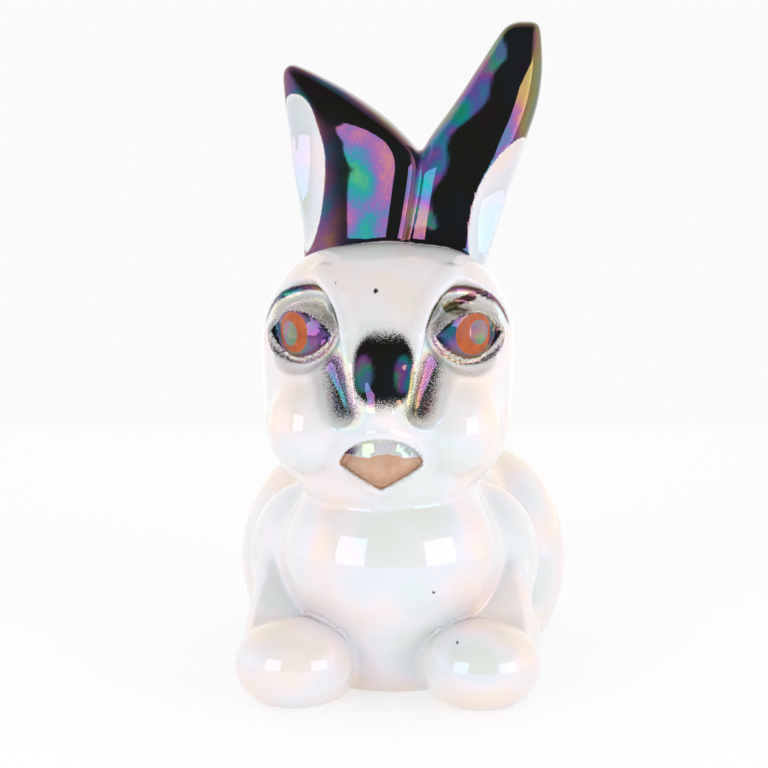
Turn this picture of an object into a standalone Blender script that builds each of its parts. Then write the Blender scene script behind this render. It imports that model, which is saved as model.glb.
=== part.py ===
"""Porcelain rabbit figurine, crouching on its belly with its head up and its ears apart.

It is one casting, so it is one solid. It faces -Y, stands on z = 0 and is laid out in parts of
its own height: PARTS_HIGH of them make FIGURE_HEIGHT, so that a part is a millimetre at that size.
Eggs and limbs are joined by a voxel remesh, and the skin is then pressed onto the blended form
that the functions below describe, which gives the folds, sockets, creases and ear cups.
"""

import math
from collections import namedtuple
from itertools import product

import bmesh
import bpy
import numpy as np
from mathutils import Euler, Matrix, Vector

# Driving dimension, in metres
FIGURE_HEIGHT = 0.132

# Proportions: how many parts of its own the figure is high
PARTS_HIGH = 132
PART = FIGURE_HEIGHT / PARTS_HIGH

# Fineness of the solid, in parts and triangles
SKIN_STEPS = (2.2, 1.4, 0.9)
PRESS_ROUNDS = (14, 6, 4)
MOST_TRIANGLES = 9600
SETTLE_ROUNDS = 2
EASE_SHARE = 0.5
LONGEST_PRESS = 1.1
LEAST_SLOPE = 0.3
PROBE = 0.02
HAIR = 1e-9
FOOT_SLICE = 0.01
BALL_SEGMENTS = 24
BALL_RINGS = 16
RUN_EGGS = 7

# Glaze
WHITE_GLAZE = (0.86, 0.85, 0.83, 1)
GLAZE_ROUGHNESS = 0.06

# An egg has a centre, radii and a turn in degrees, a limb two ends with a radius at each, and
# reach is the width of the soft joint to what comes before it in its list
Egg = namedtuple("Egg", "centre radii turn reach")
Limb = namedtuple("Limb", "start end radii reach")

# Forms that are the same on both sides are given on the +X side only
TRUNK = (
    Egg((0, 36, 21), (25, 29.5, 26.5), (0, 0, 0), 0),
    Egg((0, 6, 22), (23, 36, 24), (0, 0, 0), 14),
    Egg((0, -20, 28), (21.5, 18, 18.5), (0, 0, 0), 7),
    Egg((0, -3, 11), (19.5, 25, 15), (0, 0, 0), 5),
    Egg((0, -10.5, 15), (18.5, 15, 17), (0, 0, 0), 14),
    Egg((0, -15, 41), (17, 17, 11), (0, 0, 0), 5),
    Egg((17.2, 37, 15), (17.2, 22, 24), (0, 0, 8), 3.5),
    Limb((22, 42, 3), (23.8, 9, 4.4), (6.6, 6), 1.8),
    Egg((0, 62, 21), (8.5, 8.4, 10), (0, 0, 0), 1.8),
    Egg((17.5, -5, 24), (12, 13.5, 15), (0, 0, 0), 7),
    Egg((20.5, -6, 8), (9.2, 13, 10), (0, 0, 0), 5),
)
SHINS = (
    Limb((21.6, -14.6, 21), (18.3, -24.6, 7.3), (6.4, 12), 0),
)
PAWS = (
    Egg((18.7, -31.5, 7.8), (11.7, 10.6, 9.2), (0, 0, 0), 2.4),
)
SHIN_FACET = ((18.3, -29.5, 11), (-0.02, -0.79, 0.61))
SHIN_EDGE = 0.9
BODY_SHIFT = 0.9
FORELEG_JOINT = 2.4
HEAD = (
    Egg((0, -12, 65), (24.8, 25, 24.3), (0, 0, 0), 0),
    Egg((10.4, -12, 71), (14.2, 19, 17), (0, 0, 0), 5),
    Egg((11, -15, 53), (12.9, 16, 12.8), (0, 0, 0), 8),
    Egg((0, -26, 60), (13.5, 15, 17), (0, 0, 0), 8),
    Egg((0, -22.5, 44.5), (17, 13.2, 8.6), (0, 0, 0), 3),
)
SOCKETS = (
    Egg((19, -29.6, 76.6), (10.8, 9.2, 11.6), (-20, 0, 40), 0),
    Limb((13, -36.6, 73), (9.6, -38.6, 61.5), (6.2, 5.2), 3),
)
SOCKET_EDGE = 1.2
FACE = (
    Egg((14.2, -28.2, 55.5), (8.6, 9.2, 9.8), (0, 0, 0), 3.2),
    Egg((0, -28, 49.5), (11.5, 12, 10.5), (0, 0, 0), 2.5),
    Egg((0, -36, 60), (5, 5.6, 6.5), (0, 0, 0), 3),
    Limb((12.9, -21.4, 84.6), (8.8, -28.4, 80.2), (1.8, 2.1), 2.4),
    Limb((8.8, -28.4, 80.2), (6.5, -33.8, 74.6), (2.1, 2.1), 1),
    Limb((6.5, -33.8, 74.6), (5.4, -37, 69), (2.1, 2), 1),
    Limb((5.4, -37, 69), (4.5, -39.6, 62), (2, 2), 1),
)

# The mouth: where its corners' middle is, half its width, the rise of its upper lip, the drop
# of its lower lip, and how deep it is sunk below and above
MOUTH_HEIGHT = 49.3
MOUTH_HALF_WIDTH = 8.4
MOUTH_RISE = 5.6
MOUTH_DROP = 4.9
MOUTH_DEPTHS = (1.5, 2.8)
MOUTH_EDGE = 0.6
MOUTH_BACK = -24

# An eye: where its middle is, how far it faces outwards in degrees, the almond that two arcs
# make, and the ball that its front lies on
EYE_MIDDLE = (17.0, -25.4, 73.3)
EYE_FACING = 40
EYE_HALF_WIDTH = 7.9
EYE_ARCS = (4.7, 5.1)
EYE_BALL = 9.5
EYE_FRONT = 1.4
EYE_EDGE = 0.8
EYE_JOINT = 0.7

# Level sections of an ear from its root to its tip: their height, their -X and +X ends, where
# their middle lies in depth, and half their depth. Left and right are as seen from in front
EAR_SECTIONS = {
    "left": (
        (70, -17.6, 1.4, -1, 7),
        (86, -18.1, 3, 3.3, 8.4),
        (91, -18.6, 4.2, 4.2, 8.6),
        (100, -20.5, 5.6, 5.6, 8.4),
        (106, -21.2, 6, 6.4, 7.6),
        (110.3, -21.6, 1.8, 6.8, 7),
        (113.3, -22.1, -1.7, 7.6, 6.2),
        (118, -22.6, -9.2, 9.6, 4.6),
        (120.9, -22.8, -15.6, 11.2, 3.2),
        (122.7, -22.2, -19.6, 12.3, 2.4),
    ),
    "right": (
        (70, 1.4, 16.4, -1, 7),
        (81, 2.4, 18.3, 1.5, 8),
        (91, 3.4, 21.7, 3.4, 8.4),
        (100, 4.6, 24.4, 5, 8.2),
        (104, 5.4, 25.9, 5.5, 8),
        (108, 6.8, 27, 6.2, 7.6),
        (115, 12.1, 29.5, 7.2, 6.6),
        (122, 16.7, 30.4, 8.2, 5.4),
        (127, 19.9, 30.2, 9, 4.4),
        (131, 22.6, 29.8, 9.6, 3.4),
        (132, 24.2, 29.2, 9.7, 2.6),
    ),
}
EAR_SLANT = {"left": -0.42, "right": 0.15}
EAR_SQUARENESS = 3.2
CORNER_CUTS = 4
EAR_CUPS = {
    "left": Egg((-22, 3.4, 99.5), (8.9, 6.2, 17.5), (-12, 7, 0), 0),
    "right": Egg((26.8, 0.2, 92), (12, 6.5, 17), (-10, 12, 0), 0),
}
CUP_EDGE = 1.4
TIP_EDGE = 2.4
EAR_JOINT = 3.4


def turned(degrees):
    """A turn about X, Y and Z in that order, given in degrees, as a 3 by 3 array."""
    return np.array(Euler([math.radians(angle) for angle in degrees]).to_matrix())


def swollen_gap(offset, radii, squareness=2):
    """About how far points lie outside an egg, from where they are about its middle."""
    scaled = np.abs(offset / radii) + HAIR
    near = (scaled**squareness).sum(axis=1) ** (1 / squareness)
    slope = (scaled / near[:, None]) ** (squareness - 1) / radii
    return (near - 1) / np.linalg.norm(slope, axis=1)


def egg_gap(points, egg):
    """About how far each point lies outside an egg."""
    return swollen_gap((points - egg.centre) @ turned(egg.turn), np.array(egg.radii, float))


def limb_gap(points, limb):
    """How far each point lies outside a tapered round limb."""
    start = np.array(limb.start, float)
    along = np.array(limb.end, float) - start
    share = np.clip((points - start) @ along / (along @ along), 0, 1)
    radius = limb.radii[0] + (limb.radii[1] - limb.radii[0]) * share
    return np.linalg.norm(points - start - share[:, None] * along, axis=1) - radius


def blend(first, second, reach):
    """Two forms as one, with a soft joint this wide."""
    shared = np.maximum(reach - np.abs(first - second), 0) / reach
    return np.minimum(first, second) - shared**3 * reach / 6


def trim(form, outside, reach):
    """The form without another one, with an edge this soft."""
    return -blend(-form, outside, reach)


def overlap(first, second, reach):
    """What two forms share, with an edge this soft."""
    return -blend(-first, -second, reach)


def joined(points, forms, whole=None):
    """The forms of a list as one, with what they are added to."""
    for form in forms:
        gap = egg_gap(points, form) if isinstance(form, Egg) else limb_gap(points, form)
        whole = gap if whole is None else blend(whole, gap, form.reach)
    return whole


def rounded_line(stops):
    """A line through a few stops with its corners cut off, and those cut off again."""
    line = np.array(stops, float)
    for cut in range(CORNER_CUTS):
        near = 0.75 * line[:-1] + 0.25 * line[1:]
        far = 0.25 * line[:-1] + 0.75 * line[1:]
        cuts = np.stack((near, far), axis=1).reshape(-1, line.shape[1])
        line = np.concatenate((line[:1], cuts[1:-1], line[-1:]))
    return line


def ear_gap(points, side):
    """About how far each point lies outside an ear, a leaf with a cup scooped out of it."""
    line = rounded_line(EAR_SECTIONS[side])
    near, far, depth, half_depth = (np.interp(points[:, 2], line[:, 0], row) for row in line.T[1:])
    across = points[:, 0] - (near + far) / 2
    offset = np.stack((across, points[:, 1] - depth - EAR_SLANT[side] * across), axis=1)
    leaf = swollen_gap(offset, np.stack(((far - near) / 2, half_depth), axis=1), EAR_SQUARENESS)
    leaf = overlap(leaf, points[:, 2] - line[-1, 0], TIP_EDGE)
    return trim(leaf, egg_gap(points, EAR_CUPS[side]), CUP_EDGE)


def eye_gap(points):
    """About how far each point of the folded head lies outside the almond of an eye."""
    place = (points - EYE_MIDDLE) @ turned((0, 0, EYE_FACING))
    across, inward, up = place.T
    almond = None
    for side, rise in zip((1, -1), EYE_ARCS):
        arc = (EYE_HALF_WIDTH**2 + rise**2) / (2 * rise)
        gap = np.hypot(across, up - side * (rise - arc)) - arc
        almond = gap if almond is None else overlap(almond, gap, EYE_EDGE)
    ball = np.linalg.norm(place - (0, EYE_BALL - EYE_FRONT, 0), axis=1) - EYE_BALL
    return overlap(almond, ball, EYE_EDGE)


def folded(points):
    """The points with the -X side laid over the +X side."""
    return np.abs(points * (1, 0, 0)) + points * (0, 1, 1)


def body_gap(points):
    """About how far each point lies outside the trunk and the forelegs."""
    half = folded(points - (BODY_SHIFT, 0, 0))
    place, facing = SHIN_FACET
    legs = overlap(joined(half, SHINS), (half - place) @ facing, SHIN_EDGE)
    legs = joined(half, PAWS, legs)
    return blend(joined(half, TRUNK), legs, FORELEG_JOINT)


def mouth_gap(half):
    """About how far points of the folded head lie outside the outline of the mouth."""
    height = half[:, 2] - MOUTH_HEIGHT
    arc = (MOUTH_HALF_WIDTH**2 + MOUTH_RISE**2) / (2 * MOUTH_RISE)
    above = np.hypot(half[:, 0], height - MOUTH_RISE + arc) - arc
    slant = math.hypot(MOUTH_DROP, MOUTH_HALF_WIDTH)
    span = MOUTH_HALF_WIDTH * MOUTH_DROP
    below = (half[:, 0] * MOUTH_DROP - height * MOUTH_HALF_WIDTH - span) / slant
    return overlap(above, below, MOUTH_EDGE)


def head_gap(points):
    """About how far each point lies outside the head without its ears."""
    half = folded(points)
    head = trim(joined(half, HEAD), joined(half, SOCKETS), SOCKET_EDGE)
    head = joined(half, FACE, head)
    head = blend(head, eye_gap(half), EYE_JOINT)
    shallow, deep = MOUTH_DEPTHS
    height = (half[:, 2] - MOUTH_HEIGHT) / MOUTH_RISE
    depth = shallow + (deep - shallow) * np.clip(height, 0, 1)
    mouth = np.maximum(mouth_gap(half), half[:, 1] - MOUTH_BACK)
    return trim(head, overlap(mouth, -head - depth, MOUTH_EDGE), MOUTH_EDGE)


def ears_gap(points):
    """About how far each point lies outside the ears."""
    return blend(ear_gap(points, "left"), ear_gap(points, "right"), EAR_JOINT)


def form_gap(points):
    """About how far each point, in parts, lies outside the figure."""
    whole = np.full(len(points), FAR_OFF)
    for shape, joint, (bottom, top) in SHAPES:
        near = (points[:, 2] > bottom) & (points[:, 2] < top)
        whole[near] = blend(whole[near], shape(points[near]), joint)
    return whole


# What the figure is made of, with the joint to what comes before it and the heights it lies
# between, past which it is too far off to matter
FAR_OFF = 99.0
SHAPES = (
    (body_gap, 1, (-30, 62)),
    (head_gap, 1.6, (26, 105)),
    (ears_gap, 2, (68, 150)),
)


def add_egg(rough, unit_ball, centre, radii, turn=(0, 0, 0)):
    """One more egg in the rough figure."""
    place = Matrix.Translation(Vector(centre) * PART)
    place @= Euler([math.radians(angle) for angle in turn]).to_matrix().to_4x4()
    place @= Matrix.Diagonal((*(radius * PART for radius in radii), 1))
    egg = unit_ball.copy()
    egg.transform(place)
    rough.from_mesh(egg)
    bpy.data.meshes.remove(egg)


def add_run(rough, unit_ball, ends, sizes, turn=(0, 0, 0)):
    """Eggs in a row between two places, going over from the first size to the last."""
    for number in range(RUN_EGGS):
        share = number / (RUN_EGGS - 1)
        centre, radii = (Vector(pair[0]).lerp(Vector(pair[1]), share) for pair in (ends, sizes))
        add_egg(rough, unit_ball, centre, radii, turn)


def rough_figure():
    """The eggs and limbs of the figure as closed shells that run into each other."""
    ball = bmesh.new()
    bmesh.ops.create_uvsphere(ball, u_segments=BALL_SEGMENTS, v_segments=BALL_RINGS, radius=1)
    unit_ball = bpy.data.meshes.new("unit_ball")
    ball.to_mesh(unit_ball)
    ball.free()
    rough = bmesh.new()
    body = [(form, BODY_SHIFT) for form in TRUNK + SHINS + PAWS]
    for (form, shift), side in product(body + [(form, 0) for form in HEAD + FACE], (1, -1)):
        if isinstance(form, Egg):
            x, y, z = form.centre
            bend, lean, swing = form.turn
            turn = (bend, side * lean, side * swing)
            add_egg(rough, unit_ball, (side * x + shift, y, z), form.radii, turn)
        else:
            ends = [(side * x + shift, y, z) for x, y, z in (form.start, form.end)]
            add_run(rough, unit_ball, ends, [(radius,) * 3 for radius in form.radii])
    for side, sections in EAR_SECTIONS.items():
        turn = (0, 0, math.degrees(math.atan(EAR_SLANT[side])))
        eggs = [
            (((near + far) / 2, depth, height), ((far - near) / 2, half_depth, half_depth))
            for height, near, far, depth, half_depth in sections
        ]
        for (start, first), (end, last) in zip(eggs, eggs[1:]):
            add_run(rough, unit_ball, (start, end), (first, last), turn)
    return rough


def press(figure, rounds):
    """Move the skin onto the form, evening it out on the way."""
    mesh = figure.data
    count = len(mesh.vertices)
    points = np.empty(count * 3)
    mesh.vertices.foreach_get("co", points)
    points = points.reshape(-1, 3) / PART
    edges = np.empty(len(mesh.edges) * 2, int)
    mesh.edges.foreach_get("vertices", edges)
    ends = np.concatenate((edges[0::2], edges[1::2]))
    others = np.concatenate((edges[1::2], edges[0::2]))
    ways = np.bincount(ends, minlength=count)[:, None]
    for turn in range(rounds + SETTLE_ROUNDS):
        gap = form_gap(points)
        slope = np.empty_like(points)
        for axis in range(3):
            probe = np.zeros(3)
            probe[axis] = PROBE
            slope[:, axis] = (form_gap(points + probe) - gap) / PROBE
        steep = np.linalg.norm(slope, axis=1)[:, None] + HAIR
        out = slope / steep
        move = np.clip(gap[:, None] / np.maximum(steep, LEAST_SLOPE), -LONGEST_PRESS, LONGEST_PRESS)
        points -= move * out
        if turn < rounds:
            sums = [np.bincount(ends, points[others, axis], count) for axis in range(3)]
            ease = np.stack(sums, axis=1) / ways - points
            points += EASE_SHARE * (ease - (ease * out).sum(axis=1)[:, None] * out)
    mesh.vertices.foreach_set("co", (points * PART).ravel())
    mesh.update()


def settled_mesh(thing):
    """The object's mesh with its modifiers made final."""
    seen = thing.evaluated_get(bpy.context.evaluated_depsgraph_get())
    mesh = bpy.data.meshes.new_from_object(seen)
    thing.modifiers.clear()
    return mesh


def cut_foot(mesh):
    """Cut off what lies below z = 0 and leave the underside open."""
    bm = bmesh.new()
    bm.from_mesh(mesh)
    everything = bm.verts[:] + bm.edges[:] + bm.faces[:]
    bmesh.ops.bisect_plane(
        bm, geom=everything, dist=FOOT_SLICE * PART, plane_co=(0, 0, 0), plane_no=(0, 0, -1),
        clear_outer=True
    )
    bm.to_mesh(mesh)
    bm.free()


def close_foot(mesh):
    """Bring the rim of the underside to z = 0 and close it with flat faces."""
    bm = bmesh.new()
    bm.from_mesh(mesh)
    rim = [edge for edge in bm.edges if edge.is_boundary]
    for vertex in {vertex for edge in rim for vertex in edge.verts}:
        vertex.co.z = 0
    for vertex in bm.verts:
        vertex.co.z = max(vertex.co.z, 0)
    floor = bmesh.ops.holes_fill(bm, edges=rim, sides=0)["faces"]
    bmesh.ops.triangulate(bm, faces=floor)
    bmesh.ops.recalc_face_normals(bm, faces=bm.faces)
    bm.to_mesh(mesh)
    bm.free()


def centre(mesh):
    """Bring the middle of the figure's box over the origin."""
    places = np.array([vertex.co for vertex in mesh.vertices])
    middle = (places.min(axis=0) + places.max(axis=0)) / 2
    mesh.transform(Matrix.Translation((-middle[0], -middle[1], 0)))


def glaze():
    """Glossy white glaze."""
    material = bpy.data.materials.new("white_glaze")
    material.use_nodes = True
    shader = material.node_tree.nodes["Principled BSDF"]
    shader.inputs["Base Color"].default_value = WHITE_GLAZE
    shader.inputs["Roughness"].default_value = GLAZE_ROUGHNESS
    return material


def main():
    """Build the figurine in a collection of its own."""
    for thing in list(bpy.data.objects):
        bpy.data.objects.remove(thing, do_unlink=True)
    collection = bpy.data.collections.new("porcelain_rabbit")
    bpy.context.scene.collection.children.link(collection)
    rough = rough_figure()
    mesh = bpy.data.meshes.new("rabbit")
    rough.to_mesh(mesh)
    rough.free()
    figure = bpy.data.objects.new("rabbit", mesh)
    collection.objects.link(figure)
    for skin_step, rounds in zip(SKIN_STEPS, PRESS_ROUNDS):
        remesh = figure.modifiers.new("skin", "REMESH")
        remesh.mode = "VOXEL"
        remesh.voxel_size = skin_step * PART
        figure.data = settled_mesh(figure)
        press(figure, rounds)
    cut_foot(figure.data)
    triangles = sum(len(face.vertices) - 2 for face in figure.data.polygons)
    thin = figure.modifiers.new("thin", "DECIMATE")
    thin.ratio = MOST_TRIANGLES / triangles
    figure.data = settled_mesh(figure)
    close_foot(figure.data)
    figure.data.materials.append(glaze())
    figure.data.shade_smooth()
    centre(figure.data)


if __name__ == "__main__":
    main()
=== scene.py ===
"""Porcelain rabbit figurine under a pearl lustre glaze, with sprayed black ears, eyes and nose.

The casting is the same form as the solid, skinned more finely, with the folds of its eyelids and
lips. It faces -Y and is laid out in parts of its own height, so that a part is a millimetre at its
usual size.
"""

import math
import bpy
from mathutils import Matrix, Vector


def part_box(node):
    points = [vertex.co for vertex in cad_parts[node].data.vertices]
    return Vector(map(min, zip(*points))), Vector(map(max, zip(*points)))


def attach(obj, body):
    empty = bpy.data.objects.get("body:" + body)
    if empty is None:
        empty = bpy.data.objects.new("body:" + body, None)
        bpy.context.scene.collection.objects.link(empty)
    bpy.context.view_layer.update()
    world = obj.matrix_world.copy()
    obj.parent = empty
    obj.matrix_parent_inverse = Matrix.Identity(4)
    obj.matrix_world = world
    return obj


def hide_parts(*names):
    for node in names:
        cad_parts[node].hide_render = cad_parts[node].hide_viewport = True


bl_info = {
    "name": "Porcelain Rabbit",
    "version": (1, 0, 0),
    "blender": (4, 5, 0),
    "location": "3D View > Sidebar > Porcelain Rabbit",
    "description": "A crouching porcelain rabbit with a pearl lustre glaze, and its studio",
    "category": "Object",
}

from collections import namedtuple
from itertools import product

import bmesh
import bpy
import numpy as np
from bpy.props import FloatProperty, FloatVectorProperty, PointerProperty
from mathutils import Euler, Matrix, Vector

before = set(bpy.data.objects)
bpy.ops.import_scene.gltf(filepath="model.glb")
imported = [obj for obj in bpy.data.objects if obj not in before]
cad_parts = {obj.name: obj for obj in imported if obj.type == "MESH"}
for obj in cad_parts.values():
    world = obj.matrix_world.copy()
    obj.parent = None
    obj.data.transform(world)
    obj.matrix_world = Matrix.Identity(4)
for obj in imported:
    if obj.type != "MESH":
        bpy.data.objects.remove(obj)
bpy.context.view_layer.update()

# Proportions: how many parts of its own the figure is high, to the tip of its taller ear
PARTS_HIGH = 132

# How the skin is made: the steps of its grids, in parts, and how often it is pressed onto the
# form on each of them, evened out in all but the last rounds
SKIN_STEPS = (2.2, 1.3, 0.66)
PRESS_ROUNDS = (14, 8, 8)
SETTLE_ROUNDS = 2
EASE_SHARE = 0.5
LONGEST_PRESS = 1.1
LEAST_SLOPE = 0.3
PROBE = 0.02
HAIR = 1e-9
FOOT_SLICE = 0.01

# The balls that the rough figure is laid out in, before it is skinned
BALL_SEGMENTS = 24
BALL_RINGS = 16
RUN_EGGS = 7

# An egg has a centre, radii and a turn in degrees, a limb two ends with a radius at each, and
# reach is the width of the soft joint to what comes before it in its list
Egg = namedtuple("Egg", "centre radii turn reach")
Limb = namedtuple("Limb", "start end radii reach")

# Forms that are the same on both sides are given on the +X side only
TRUNK = (
    Egg((0, 36, 21), (25, 29.5, 26.5), (0, 0, 0), 0),
    Egg((0, 6, 22), (23, 36, 24), (0, 0, 0), 14),
    Egg((0, -20, 28), (21.5, 18, 18.5), (0, 0, 0), 7),
    Egg((0, -3, 11), (19.5, 25, 15), (0, 0, 0), 5),
    Egg((0, -10.5, 15), (18.5, 15, 17), (0, 0, 0), 14),
    Egg((0, -15, 41), (17, 17, 11), (0, 0, 0), 5),
    Egg((17.2, 37, 15), (17.2, 22, 24), (0, 0, 8), 3.5),
    Limb((22, 42, 3), (23.8, 9, 4.4), (6.6, 6), 1.8),
    Egg((0, 62, 21), (8.5, 8.4, 10), (0, 0, 0), 1.8),
    Egg((17.5, -5, 24), (12, 13.5, 15), (0, 0, 0), 7),
    Egg((20.5, -6, 8), (9.2, 13, 10), (0, 0, 0), 5),
)
SHINS = (
    Limb((21.6, -14.6, 21), (18.3, -24.6, 7.3), (6.4, 12), 0),
)
PAWS = (
    Egg((18.7, -31.5, 7.8), (11.7, 10.6, 9.2), (0, 0, 0), 2.4),
)
SHIN_FACET = ((18.3, -29.5, 11), (-0.02, -0.79, 0.61))
SHIN_EDGE = 0.9
BODY_SHIFT = 0.9
FORELEG_JOINT = 2.4
HEAD = (
    Egg((0, -12, 65), (24.8, 25, 24.3), (0, 0, 0), 0),
    Egg((10.4, -12, 71), (14.2, 19, 17), (0, 0, 0), 5),
    Egg((11, -15, 53), (12.9, 16, 12.8), (0, 0, 0), 8),
    Egg((0, -26, 60), (13.5, 15, 17), (0, 0, 0), 8),
    Egg((0, -22.5, 44.5), (17, 13.2, 8.6), (0, 0, 0), 3),
)
SOCKETS = (
    Egg((19, -29.6, 76.6), (10.8, 9.2, 11.6), (-20, 0, 40), 0),
    Limb((13, -36.6, 73), (9.6, -38.6, 61.5), (6.2, 5.2), 3),
)
SOCKET_EDGE = 1.2
FACE = (
    Egg((14.2, -28.2, 55.5), (8.6, 9.2, 9.8), (0, 0, 0), 3.2),
    Egg((0, -28, 49.5), (11.5, 12, 10.5), (0, 0, 0), 2.5),
    Egg((0, -36, 60), (5, 5.6, 6.5), (0, 0, 0), 3),
    Limb((12.9, -21.4, 84.6), (8.8, -28.4, 80.2), (1.8, 2.1), 2.4),
    Limb((8.8, -28.4, 80.2), (6.5, -33.8, 74.6), (2.1, 2.1), 1),
    Limb((6.5, -33.8, 74.6), (5.4, -37, 69), (2.1, 2), 1),
    Limb((5.4, -37, 69), (4.5, -39.6, 62), (2, 2), 1),
)

# The mouth: where its corners' middle is, half its width, the rise of its upper lip, the drop
# of its lower lip, and how deep it is sunk below and above
MOUTH_HEIGHT = 49.3
MOUTH_HALF_WIDTH = 8.4
MOUTH_RISE = 5.6
MOUTH_DROP = 4.9
MOUTH_DEPTHS = (1.5, 2.8)
MOUTH_EDGE = 0.6
MOUTH_BACK = -24

# An eye: where its middle is, how far it faces outwards in degrees, the almond that two arcs
# make, and the ball that its front lies on
EYE_MIDDLE = (17.0, -25.4, 73.3)
EYE_FACING = 40
EYE_HALF_WIDTH = 7.9
EYE_ARCS = (4.7, 5.1)
EYE_BALL = 9.5
EYE_FRONT = 1.4
EYE_EDGE = 0.8
EYE_JOINT = 0.7

# Level sections of an ear from its root to its tip: their height, their -X and +X ends, where
# their middle lies in depth, and half their depth. Left and right are as seen from in front
EAR_SECTIONS = {
    "left": (
        (70, -17.6, 1.4, -1, 7),
        (86, -18.1, 3, 3.3, 8.4),
        (91, -18.6, 4.2, 4.2, 8.6),
        (100, -20.5, 5.6, 5.6, 8.4),
        (106, -21.2, 6, 6.4, 7.6),
        (110.3, -21.6, 1.8, 6.8, 7),
        (113.3, -22.1, -1.7, 7.6, 6.2),
        (118, -22.6, -9.2, 9.6, 4.6),
        (120.9, -22.8, -15.6, 11.2, 3.2),
        (122.7, -22.2, -19.6, 12.3, 2.4),
    ),
    "right": (
        (70, 1.4, 16.4, -1, 7),
        (81, 2.4, 18.3, 1.5, 8),
        (91, 3.4, 21.7, 3.4, 8.4),
        (100, 4.6, 24.4, 5, 8.2),
        (104, 5.4, 25.9, 5.5, 8),
        (108, 6.8, 27, 6.2, 7.6),
        (115, 12.1, 29.5, 7.2, 6.6),
        (122, 16.7, 30.4, 8.2, 5.4),
        (127, 19.9, 30.2, 9, 4.4),
        (131, 22.6, 29.8, 9.6, 3.4),
        (132, 24.2, 29.2, 9.7, 2.6),
    ),
}
EAR_SLANT = {"left": -0.42, "right": 0.15}
EAR_SQUARENESS = 3.2
CORNER_CUTS = 4
CORNER_SHARE = 0.25
EAR_CUPS = {
    "left": Egg((-22, 3.4, 99.5), (8.9, 6.2, 17.5), (-12, 7, 0), 0),
    "right": Egg((26.8, 0.2, 92), (12, 6.5, 17), (-10, 12, 0), 0),
}
CUP_EDGE = 1.4
TIP_EDGE = 2.4
EAR_JOINT = 3.4


def turned(degrees):
    """A turn about X, Y and Z in that order, given in degrees, as a 3 by 3 array."""
    return np.array(Euler([math.radians(angle) for angle in degrees]).to_matrix())


def swollen_gap(offset, radii, squareness=2):
    """About how far points lie outside an egg, from where they are about its middle."""
    scaled = np.abs(offset / radii) + HAIR
    near = (scaled**squareness).sum(axis=1) ** (1 / squareness)
    slope = (scaled / near[:, None]) ** (squareness - 1) / radii
    return (near - 1) / np.linalg.norm(slope, axis=1)


def egg_gap(points, egg):
    """About how far each point lies outside an egg."""
    return swollen_gap((points - egg.centre) @ turned(egg.turn), np.array(egg.radii, float))


def limb_gap(points, limb):
    """How far each point lies outside a tapered round limb."""
    start = np.array(limb.start, float)
    along = np.array(limb.end, float) - start
    share = np.clip((points - start) @ along / (along @ along), 0, 1)
    radius = limb.radii[0] + (limb.radii[1] - limb.radii[0]) * share
    return np.linalg.norm(points - start - share[:, None] * along, axis=1) - radius


def blend(first, second, reach):
    """Two forms as one, with a soft joint this wide."""
    shared = np.maximum(reach - np.abs(first - second), 0) / reach
    return np.minimum(first, second) - shared**3 * reach / 6


def trim(form, outside, reach):
    """The form without another one, with an edge this soft."""
    return -blend(-form, outside, reach)


def overlap(first, second, reach):
    """What two forms share, with an edge this soft."""
    return -blend(-first, -second, reach)


def joined(points, forms, whole=None):
    """The forms of a list as one, with what they are added to."""
    for form in forms:
        gap = egg_gap(points, form) if isinstance(form, Egg) else limb_gap(points, form)
        whole = gap if whole is None else blend(whole, gap, form.reach)
    return whole


def rounded_line(stops):
    """A line through a few stops with its corners cut off, and those cut off again."""
    line = np.array(stops, float)
    for _ in range(CORNER_CUTS):
        near = (1 - CORNER_SHARE) * line[:-1] + CORNER_SHARE * line[1:]
        far = CORNER_SHARE * line[:-1] + (1 - CORNER_SHARE) * line[1:]
        cuts = np.stack((near, far), axis=1).reshape(-1, line.shape[1])
        line = np.concatenate((line[:1], cuts[1:-1], line[-1:]))
    return line


def ear_gap(points, side):
    """About how far each point lies outside an ear, a leaf with a cup scooped out of it."""
    line = rounded_line(EAR_SECTIONS[side])
    near, far, depth, half_depth = (np.interp(points[:, 2], line[:, 0], row) for row in line.T[1:])
    across = points[:, 0] - (near + far) / 2
    offset = np.stack((across, points[:, 1] - depth - EAR_SLANT[side] * across), axis=1)
    leaf = swollen_gap(offset, np.stack(((far - near) / 2, half_depth), axis=1), EAR_SQUARENESS)
    leaf = overlap(leaf, points[:, 2] - line[-1, 0], TIP_EDGE)
    return trim(leaf, egg_gap(points, EAR_CUPS[side]), CUP_EDGE)


def before_eye(half):
    """Where points of the folded head lie across, behind and above the middle of an eye."""
    return (half - EYE_MIDDLE) @ turned((0, 0, EYE_FACING))


def almond_arcs(across, up):
    """How far points lie outside each of the two arcs that make an eye's almond."""
    for side, rise in zip((1, -1), EYE_ARCS):
        arc = (EYE_HALF_WIDTH**2 + rise**2) / (2 * rise)
        yield np.hypot(across, up - side * (rise - arc)) - arc


def eye_gap(half):
    """About how far each point of the folded head lies outside the almond of an eye."""
    place = before_eye(half)
    almond = overlap(*almond_arcs(place[:, 0], place[:, 2]), EYE_EDGE)
    ball = np.linalg.norm(place - (0, EYE_BALL - EYE_FRONT, 0), axis=1) - EYE_BALL
    return overlap(almond, ball, EYE_EDGE)


def folded(points):
    """The points with the -X side laid over the +X side."""
    return np.abs(points * (1, 0, 0)) + points * (0, 1, 1)


def body_gap(points):
    """About how far each point lies outside the trunk and the forelegs."""
    half = folded(points - (BODY_SHIFT, 0, 0))
    place, facing = SHIN_FACET
    legs = overlap(joined(half, SHINS), (half - place) @ facing, SHIN_EDGE)
    legs = joined(half, PAWS, legs)
    return blend(joined(half, TRUNK), legs, FORELEG_JOINT)


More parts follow.
